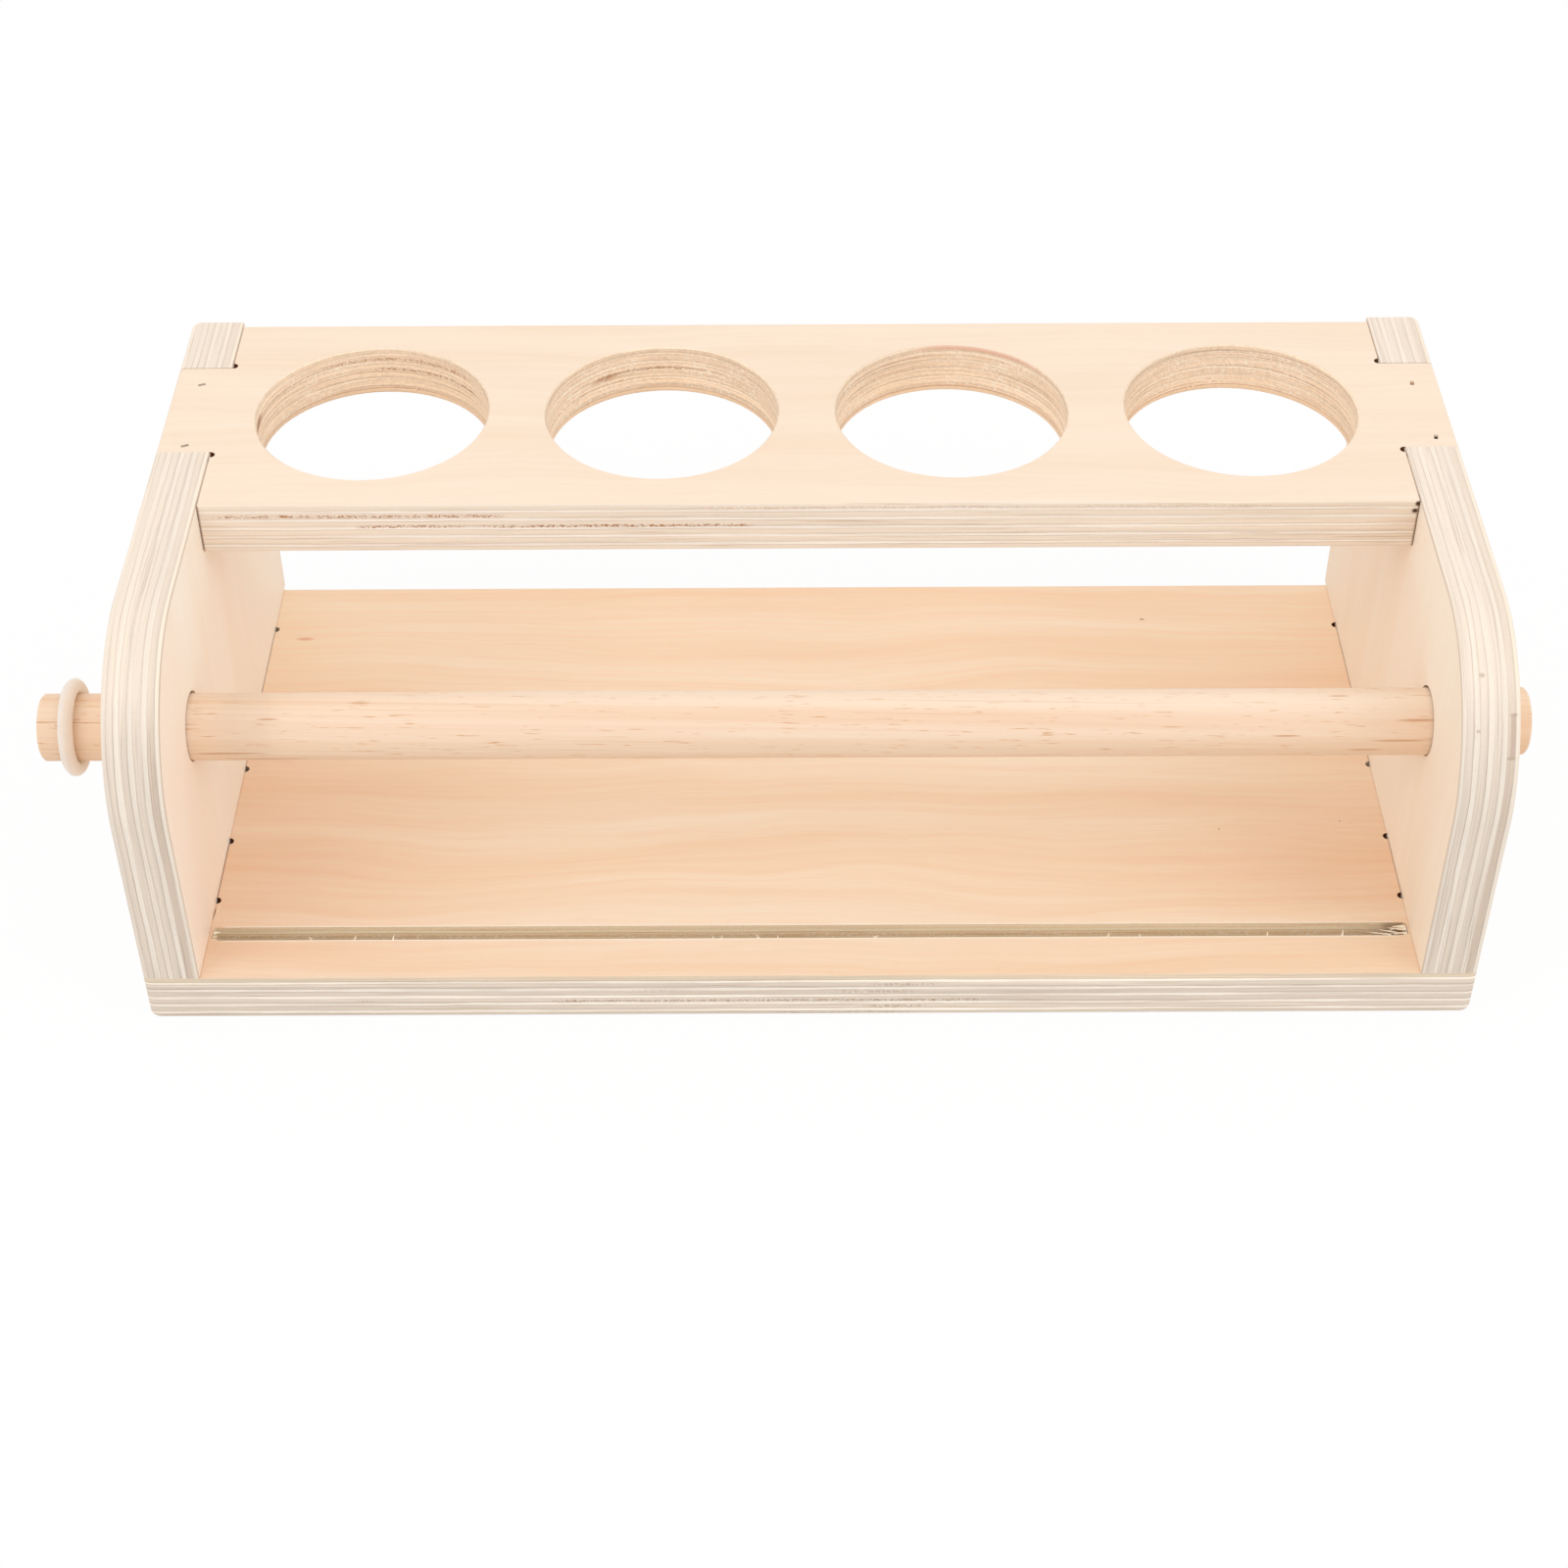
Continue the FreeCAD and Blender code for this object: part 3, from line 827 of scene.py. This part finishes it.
# follows a panel's outline: up the front, round the corner and back along the top
def crispOutline(spot, low, high):
    x, y, z = spot
    radius = crispLook["cornerRadius"]
    middleY, middleZ = low.y + radius, high.z - radius
    if not nearEnd(x):
        return x, y, z
    if z > middleZ and y < middleY:
        away = math.hypot(y - middleY, z - middleZ)
        stretch = (radius - flattened(radius - away)) / away
        return x, middleY + (y - middleY) * stretch, middleZ + (z - middleZ) * stretch
    if z > middleZ:
        return x, y, high.z - flattened(high.z - z)
    return x, low.y + flattened(y - low.y), z


def addCrispBoard(name, node, crisp):
    source = nodes[node].data
    low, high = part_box(node)
    shape = bmesh.new()
    spots = [shape.verts.new(crisp(vertex.co, low, high)) for vertex in source.vertices]
    for face in source.polygons:
        shape.faces.new([spots[index] for index in face.vertices])
    bmesh.ops.remove_doubles(shape, verts=shape.verts, dist=crispLook["merge"])
    piece = addPiece(name, shape, source.materials[0], "carcass", True)
    piece.data.set_sharp_from_angle(angle=math.radians(crispLook["sharpAngle"]))
    even = piece.modifiers.new("evenNormals", "WEIGHTED_NORMAL")
    even.keep_sharp = True
    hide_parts(node)


addCrispBoard("crispBase", "base_board", crispFront)
addCrispBoard("crispLeftPanel", "left_side_panel", crispOutline)
addCrispBoard("crispRightPanel", "right_side_panel", crispOutline)
addCrispBoard("crispShelf", "cup_shelf", crispTop)
print("crisp boards added")


# milky silicone ring, round in section with a fine mould line
ringLook = {
    "aroundSteps": 112, "sectionSteps": 28, "mouldLine": 0.05 * mm, "lineHalfAngle": 0.035,
    "clouds": ((0.35, 0.65), (0.22, 0.22, 0.22), 3.0), "rimBlend": 0.35,
    "body": paint(227, 209, 196), "cloud": paint(230, 212, 199), "rim": paint(235, 221, 212),
    "grains": (3.0, 3.0, 3.0), "rough": 0.42, "roughSway": 0.15, "bump": 0.12, "bumpDepth": 0.05 * mm,
    "specular": 0.3, "through": 1.0, "throughReach": (8.0 * mm, 7.0 * mm, 6.0 * mm),
}


def ringMaterial():
    look = ringLook
    material, surface = newMaterial("milkySilicone")
    place = piecePlace()
    colour = mixColour(patchy(place, *look["clouds"]), look["body"], look["cloud"])
    # painted rim light: parts seen edge-on are made paler
    facing = addNode("LayerWeight", {"Blend": look["rimBlend"]}).outputs["Facing"]
    grains = streaks(place, look["grains"])
    rough = sway(look["rough"], grains, look["roughSway"])
    finishSurface(look, surface, mixColour(facing, colour, look["rim"]), rough, grains)
    surface["Subsurface Weight"].default_value = look["through"]
    surface["Subsurface Radius"].default_value = look["throughReach"]
    surface["Subsurface Scale"].default_value = 1.0
    return material


def addRing():
    look = ringLook
    low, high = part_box("stop_ring")
    middle = (low + high) / 2
    section = (high.x - low.x) / 2
    reach = (high.z - low.z) / 2 - section
    angles = [2 * math.pi * step / look["sectionSteps"] for step in range(look["sectionSteps"])]
    angles = sorted(angles + [look["lineHalfAngle"], 2 * math.pi - look["lineHalfAngle"]])
    shape = bmesh.new()
    loops = []
    for step in range(look["aroundSteps"]):
        turn = 2 * math.pi * step / look["aroundSteps"]
        loop = []
        for angle in angles:
            thick = section + (look["mouldLine"] if angle == 0.0 else 0.0)
            out = reach + thick * math.cos(angle)
            spot = Vector((thick * math.sin(angle), out * math.cos(turn), out * math.sin(turn)))
            loop.append(shape.verts.new(middle + spot))
        loops.append(loop)
    for step, loop in enumerate(loops):
        after = loops[(step + 1) % len(loops)]
        for index in range(len(angles)):
            onward = (index + 1) % len(angles)
            shape.faces.new((loop[index], after[index], after[onward], loop[onward]))
    ring = addPiece("stopRingRound", shape, ringMaterial(), "ring", True)
    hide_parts("stop_ring")


addRing()
print("ring added")


# dull steel of the set brads, drawn along their length, with one dusty head
steelLook = {
    "bright": paint(78, 62, 50), "dark": paint(32, 22, 16), "metal": 0.6,
    "drawn": (5.0, 5.0, 0.3), "drawnShare": 0.8, "tarnish": ((0.38, 0.62), (1.8, 1.8, 1.8), 3.0),
    "rough": 0.52, "roughSway": 0.3, "bump": 0.3, "bumpDepth": 0.03 * mm,
    "dusty": (171.5, 53.4), "dustHalf": (3.0, 2.0), "dust": paint(226, 190, 150), "dustShare": 0.85,
}


def dressBrads():
    look = steelLook
    material, surface = newMaterial("bradSteel")
    place = piecePlace()
    spot = separate(place)
    drawn = streaks(place, look["drawn"])
    clean = opposite(patchy(place, *look["tarnish"]))
    shine = clamped(sway(clean, drawn, look["drawnShare"]))
    steel = mixColour(shine, look["dark"], look["bright"])
    side, behind = look["dusty"]
    beside = nearTo(spot["X"], side, *look["dustHalf"])
    dusty = times(beside, nearTo(spot["Y"], behind, *look["dustHalf"]), look["dustShare"])
    rough = sway(look["rough"], drawn, look["roughSway"])
    finishSurface(look, surface, marked(steel, look["dust"], dusty), rough, drawn)
    surface["Metallic"].default_value = look["metal"]
    for name in nodes:
        if name.endswith("brads"):
            dress(name, material)


dressBrads()
print("brads dressed in steel")


# torn wood fibres: thin tapered strips that curl out of a rough cut, in millimetres
fibreLook = {
    "pale": paint(255, 246, 228), "tan": paint(246, 222, 190),
    "tone": ((1.2, 1.2, 1.2), 3.0), "toneEdge": (0.35, 0.7),
    "rough": 0.75, "roughSway": 0.2, "bump": 0.3, "bumpDepth": 0.05 * mm, "specular": 0.2,
    "steps": 6, "taper": 0.6, "seed": 41, "thick": 0.25,
    "slotEnds": [(1.0, 10, 2.5, 5.5), (-1.0, 4, 1.2, 2.4)], "endRoot": 1.0,
    "splinters": [
        ((-162.9, -57.8, 0.1), (-0.12, -1.0, 0.03), 6.5), ((158.5, -70.9, 0.3), (-1.0, 0.12, 0.02), 7.0),
        ((160.0, -70.0, 0.4), (-1.0, 0.25, 0.0), 5.0),
    ],
    "splinterCurl": (0.0, 0.0, 0.02), "splinterWidth": 0.45,
    "chips": [-135.0, -125.0, -114.0, -26.5, -24.8, -14.0, -8.4, 17.2, 18.6, 80.6, 91.0, 125.0, 145.5],
    "chipRoot": 0.2, "chipThick": 0.3,
    "holes": {0: (-145.0, -100.0, 8), 1: (-62.0, -18.0, 14), 2: (42.0, 66.0, 16), 3: (100.0, 148.0, 18)},
    "holeMargin": 1.5, "holeRoot": 0.15, "holeThick": 0.2, "holeLean": 0.5, "holeCurl": -0.2,
}


def fibreMaterial():
    look = fibreLook
    material, surface = newMaterial("tornFibre")
    tone = streaks(piecePlace(), *look["tone"])
    colour = mixColour(ramp(tone, *look["toneEdge"]), look["pale"], look["tan"])
    finishSurface(look, surface, colour, sway(look["rough"], tone, look["roughSway"]), tone)
    return material


# the strip leaves the wood at root and bends towards curl
def addStrip(shape, root, heading, curl, length, width, thickness):
    heading = Vector(heading).normalized()
    curl = Vector(curl)
    steps = fibreLook["steps"]
    rings = []
    for step in range(steps):
        share = step / steps
        taper = (1.0 - share) ** fibreLook["taper"] / 2
        centre = Vector(root) + heading * length * share + curl * length * share * share
        tangent = (heading + curl * 2 * share).normalized()
        across = tangent.orthogonal().normalized()
        upward = tangent.cross(across)
        corners = []
        for first, second in ((1, 1), (-1, 1), (-1, -1), (1, -1)):
            spot = centre + across * width * taper * first + upward * thickness * taper * second
            corners.append(shape.verts.new(spot * mm))
        rings.append(corners)
    tip = shape.verts.new((Vector(root) + heading * length + curl * length) * mm)
    for inner, outer in zip(rings, rings[1:]):
        for index in range(4):
            onward = (index + 1) % 4
            shape.faces.new((inner[index], inner[onward], outer[onward], outer[index]))
    for index in range(4):
        shape.faces.new((rings[-1][index], rings[-1][(index + 1) % 4], tip))
    shape.faces.new(rings[0])


def addSlotFibres(chance, material):
    look = fibreLook
    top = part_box("base_board")[1].z / mm
    shape = bmesh.new()
    for side, count, shortest, longest in look["slotEnds"]:
        for index in range(count):
            across = slotFront + (slotBack - slotFront) * (index + 0.5) / count
            root = (side * (slotEnd + look["endRoot"]), across, top - chance.uniform(0.1, 0.8))
            heading = (-side, chance.uniform(-0.25, 0.25), chance.uniform(-0.05, 0.1))
            curl = (0.0, chance.uniform(-0.2, 0.2), chance.uniform(-0.15, 0.05))
            length = chance.uniform(shortest, longest)
            addStrip(shape, root, heading, curl, length, chance.uniform(0.4, 0.6), look["thick"])
    for (x, y, drop), heading, length in look["splinters"]:
        root = (x, y, top - drop)
        addStrip(shape, root, heading, look["splinterCurl"], length, look["splinterWidth"], look["thick"])
    for along in look["chips"]:
        x = along + chance.uniform(-0.6, 0.6)
        root = (x, slotFront - look["chipRoot"], top - chance.uniform(0.2, 0.9))
        heading = (chance.uniform(-1.2, 1.2), 1.0, chance.uniform(0.1, 0.6))
        curl = (chance.uniform(-0.4, 0.4), 0.0, 0.2)
        length = chance.uniform(0.9, 2.0)
        addStrip(shape, root, heading, curl, length, chance.uniform(0.4, 0.8), look["chipThick"])
    addPiece("slotFibres", shape, material, "carcass", False)


def addHoleFibres(chance, material):
    look = fibreLook
    under, above = (corner.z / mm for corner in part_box("cup_shelf"))
    shape = bmesh.new()
    for index, (start, stop, count) in look["holes"].items():
        middle = [value / mm for value in cupHoles[index]["pos_m"]]
        for number in range(count):
            side = chance.uniform(start, stop) - middle[0]
            rise = math.sqrt(cupRadius ** 2 - side ** 2)
            outward = Vector((side, rise, 0.0)) / cupRadius
            level = chance.uniform(under + look["holeMargin"], above - look["holeMargin"])
            root = Vector((middle[0] + side, middle[1] + rise, level)) + outward * look["holeRoot"]
            heading = Vector((chance.uniform(-1.0, 1.0), 0.0, chance.uniform(-0.3, 0.6)))
            heading -= outward * look["holeLean"]
            curl = outward * look["holeCurl"]
            length = chance.uniform(0.8, 2.0)
            addStrip(shape, root, heading, curl, length, chance.uniform(0.25, 0.5), look["holeThick"])
    addPiece("holeFibres", shape, material, "carcass", False)


fibreChance = random.Random(fibreLook["seed"])
tornFibre = fibreMaterial()
addSlotFibres(fibreChance, tornFibre)
addHoleFibres(fibreChance, tornFibre)
print("torn fibres added")


# camera, from the fit to the photograph
cameraSetup = {
    "lens": 63.52, "sensor": 36.0,
    "place": (-6.26 * mm, -607.8 * mm, 546.0 * mm), "turn": (48.47, 0.22, -0.14),
}


def addCamera(scene):
    data = bpy.data.cameras.new("photoCamera")
    data.lens = cameraSetup["lens"]
    data.sensor_width = cameraSetup["sensor"]
    camera = bpy.data.objects.new("photoCamera", data)
    camera.location = cameraSetup["place"]
    camera.rotation_euler = [math.radians(angle) for angle in cameraSetup["turn"]]
    scene.collection.objects.link(camera)
    scene.camera = camera


studio = {
    "skyStrength": 0.94, "boxSize": 0.9, "boxPower": 2.7, "boxAim": (0.0, 0.0, 0.05),
    "boxPlaces": {"leftSoftbox": (-0.95, -0.65, 1.0), "rightSoftbox": (0.95, -0.65, 1.0)},
    "floorSize": 8.0, "floorDrop": 0.2 * mm, "floorGlow": 0.92,
    "floorSeen": (0.95, 0.95, 0.95, 1.0), "floorBounce": (0.80, 0.80, 0.80, 1.0),
}
white = (1.0, 1.0, 1.0, 1.0)


# one where the camera, a mirror or glass looks straight at a surface
def seenDirectly():
    path = addNode("LightPath").outputs
    glossy = calc("MAXIMUM", path["Is Camera Ray"], path["Is Glossy Ray"])
    return calc("MAXIMUM", glossy, path["Is Transmission Ray"])


def addSky(scene):
    world = bpy.data.worlds.new("studioWorld")
    startTree(world)
    strength = between(seenDirectly(), 0.0, 1.0, studio["skyStrength"], 1.0)
    sky = addNode("Background", {"Color": white, "Strength": strength})
    link(sky.outputs[0], addNode("OutputWorld").inputs["Surface"])
    scene.world = world


def addSoftboxes(scene):
    for name, place in studio["boxPlaces"].items():
        data = bpy.data.lights.new(name, "AREA")
        data.shape = "SQUARE"
        data.size = studio["boxSize"]
        data.energy = studio["boxPower"]
        softbox = bpy.data.objects.new(name, data)
        softbox.location = place
        aim = Vector(studio["boxAim"]) - softbox.location
        softbox.rotation_euler = aim.to_track_quat("-Z", "Y").to_euler()
        scene.collection.objects.link(softbox)


def addFloor(scene):
    material = bpy.data.materials.new("studioFloor")
    startTree(material)
    colour = mixColour(seenDirectly(), studio["floorBounce"], studio["floorSeen"])
    matt = addNode("BsdfDiffuse", {"Color": colour})
    glow = addNode("Emission", {"Color": white, "Strength": 1.0})
    share = calc("MULTIPLY", seenDirectly(), studio["floorGlow"])
    both = addNode("MixShader", {0: share, 1: matt.outputs[0], 2: glow.outputs[0]})
    link(both.outputs[0], addNode("OutputMaterial").inputs["Surface"])
    half = studio["floorSize"] / 2
    low = -studio["floorDrop"]
    corners = [(-half, -half, low), (half, -half, low), (half, half, low), (-half, half, low)]
    mesh = bpy.data.meshes.new("studioFloor")
    mesh.from_pydata(corners, [], [(0, 1, 2, 3)])
    mesh.materials.append(material)
    floor = bpy.data.objects.new("studioFloor", mesh)
    scene.collection.objects.link(floor)


bpy.context.scene.view_settings.view_transform = "Standard"
addCamera(bpy.context.scene)
addSky(bpy.context.scene)
addSoftboxes(bpy.context.scene)
addFloor(bpy.context.scene)
print("camera and studio ready")
